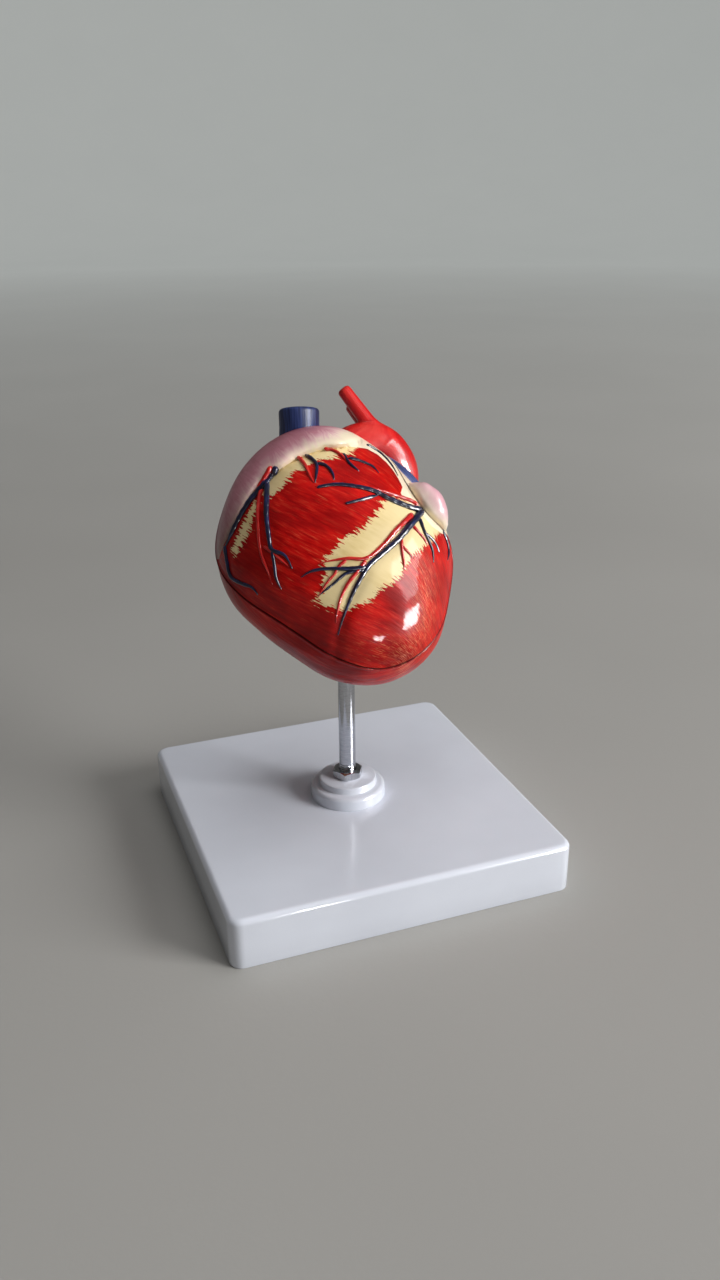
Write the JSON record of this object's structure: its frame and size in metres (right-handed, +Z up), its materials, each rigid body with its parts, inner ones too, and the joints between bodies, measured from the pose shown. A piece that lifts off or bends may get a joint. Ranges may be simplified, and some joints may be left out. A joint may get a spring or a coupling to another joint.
{
  "type": "anatomical heart model",
  "caption": "Painted plastic heart teaching model with a pull-off front wall over its chambers and valves, turning on an upright rod in a square base.",
  "frame": {"origin": "centre of the base plate's underside, on the table", "axes": "+Z up along the rod; -Y is the side of the base that the front wall faces, turned 19 degrees to -X; +X to the right seen from there"},
  "size_m": [0.16, 0.16, 0.2131],
  "materials": {
    "base_plastic": "glossy white moulding",
    "bright_steel": "bright polished plating",
    "sleeve_plastic": "satin moulding",
    "muscle_paint": "brush-painted deep red under a clear gloss coat",
    "auricle_paint": "brush-painted pale pink under a clear gloss coat",
    "chamber_paint": "satin painted flesh red",
    "atrium_paint": "satin painted pale rose",
    "valve_paint": "satin painted cream",
    "aorta_paint": "brush-painted bright red",
    "trunk_paint": "brush-painted grey blue",
    "cava_paint": "painted dark blue",
    "lung_vein_paint": "brush-painted red",
    "artery_paint": "glossy red paint line",
    "vein_paint": "glossy dark blue paint line"
  },
  "bodies": {
    "stand": {"base_plate": "base_plastic", "rod_flange": "base_plastic", "stand_rod": "bright_steel", "top_nut": "bright_steel", "under_washer": "bright_steel", "under_nut": "bright_steel"},
    "sleeve": {"swivel_sleeve": "sleeve_plastic"},
    "heart": {"rod_socket": "muscle_paint", "heart_back": "muscle_paint", "left_auricle": "auricle_paint", "septum": "chamber_paint", "atrial_septum": "atrium_paint", "valve_plate": "valve_paint", "tricuspid_valve": "valve_paint", "mitral_valve": "valve_paint", "aortic_valve": "valve_paint", "pulmonary_valve": "valve_paint", "papillary_muscles": "chamber_paint", "tendon_strings": "valve_paint", "aorta": "aorta_paint", "pulmonary_trunk": "trunk_paint", "upper_vena_cava": "cava_paint", "lower_vena_cava": "cava_paint", "pulmonary_veins": "lung_vein_paint", "back_arteries": "artery_paint", "back_veins": "vein_paint"},
    "front": {"front_wall": "muscle_paint", "front_arteries": "artery_paint", "front_veins": "vein_paint", "locating_pegs": "bright_steel"}
  },
  "joints": [
    {"name": "heart_swivel", "type": "hinge", "parent": "stand", "child": "sleeve", "pos_m": [0, 0, 0.118], "axis": [0, 0, 1], "continuous": true},
    {"name": "heart_lift", "type": "slide", "parent": "sleeve", "child": "heart", "axis": [0, 0, 1], "range_m": [0, 0.035]},
    {"name": "front_wall_pull", "type": "slide", "parent": "heart", "child": "front", "axis": [-0.3121, -0.8863, 0.342], "range_m": [0, 0.06]}
  ]
}
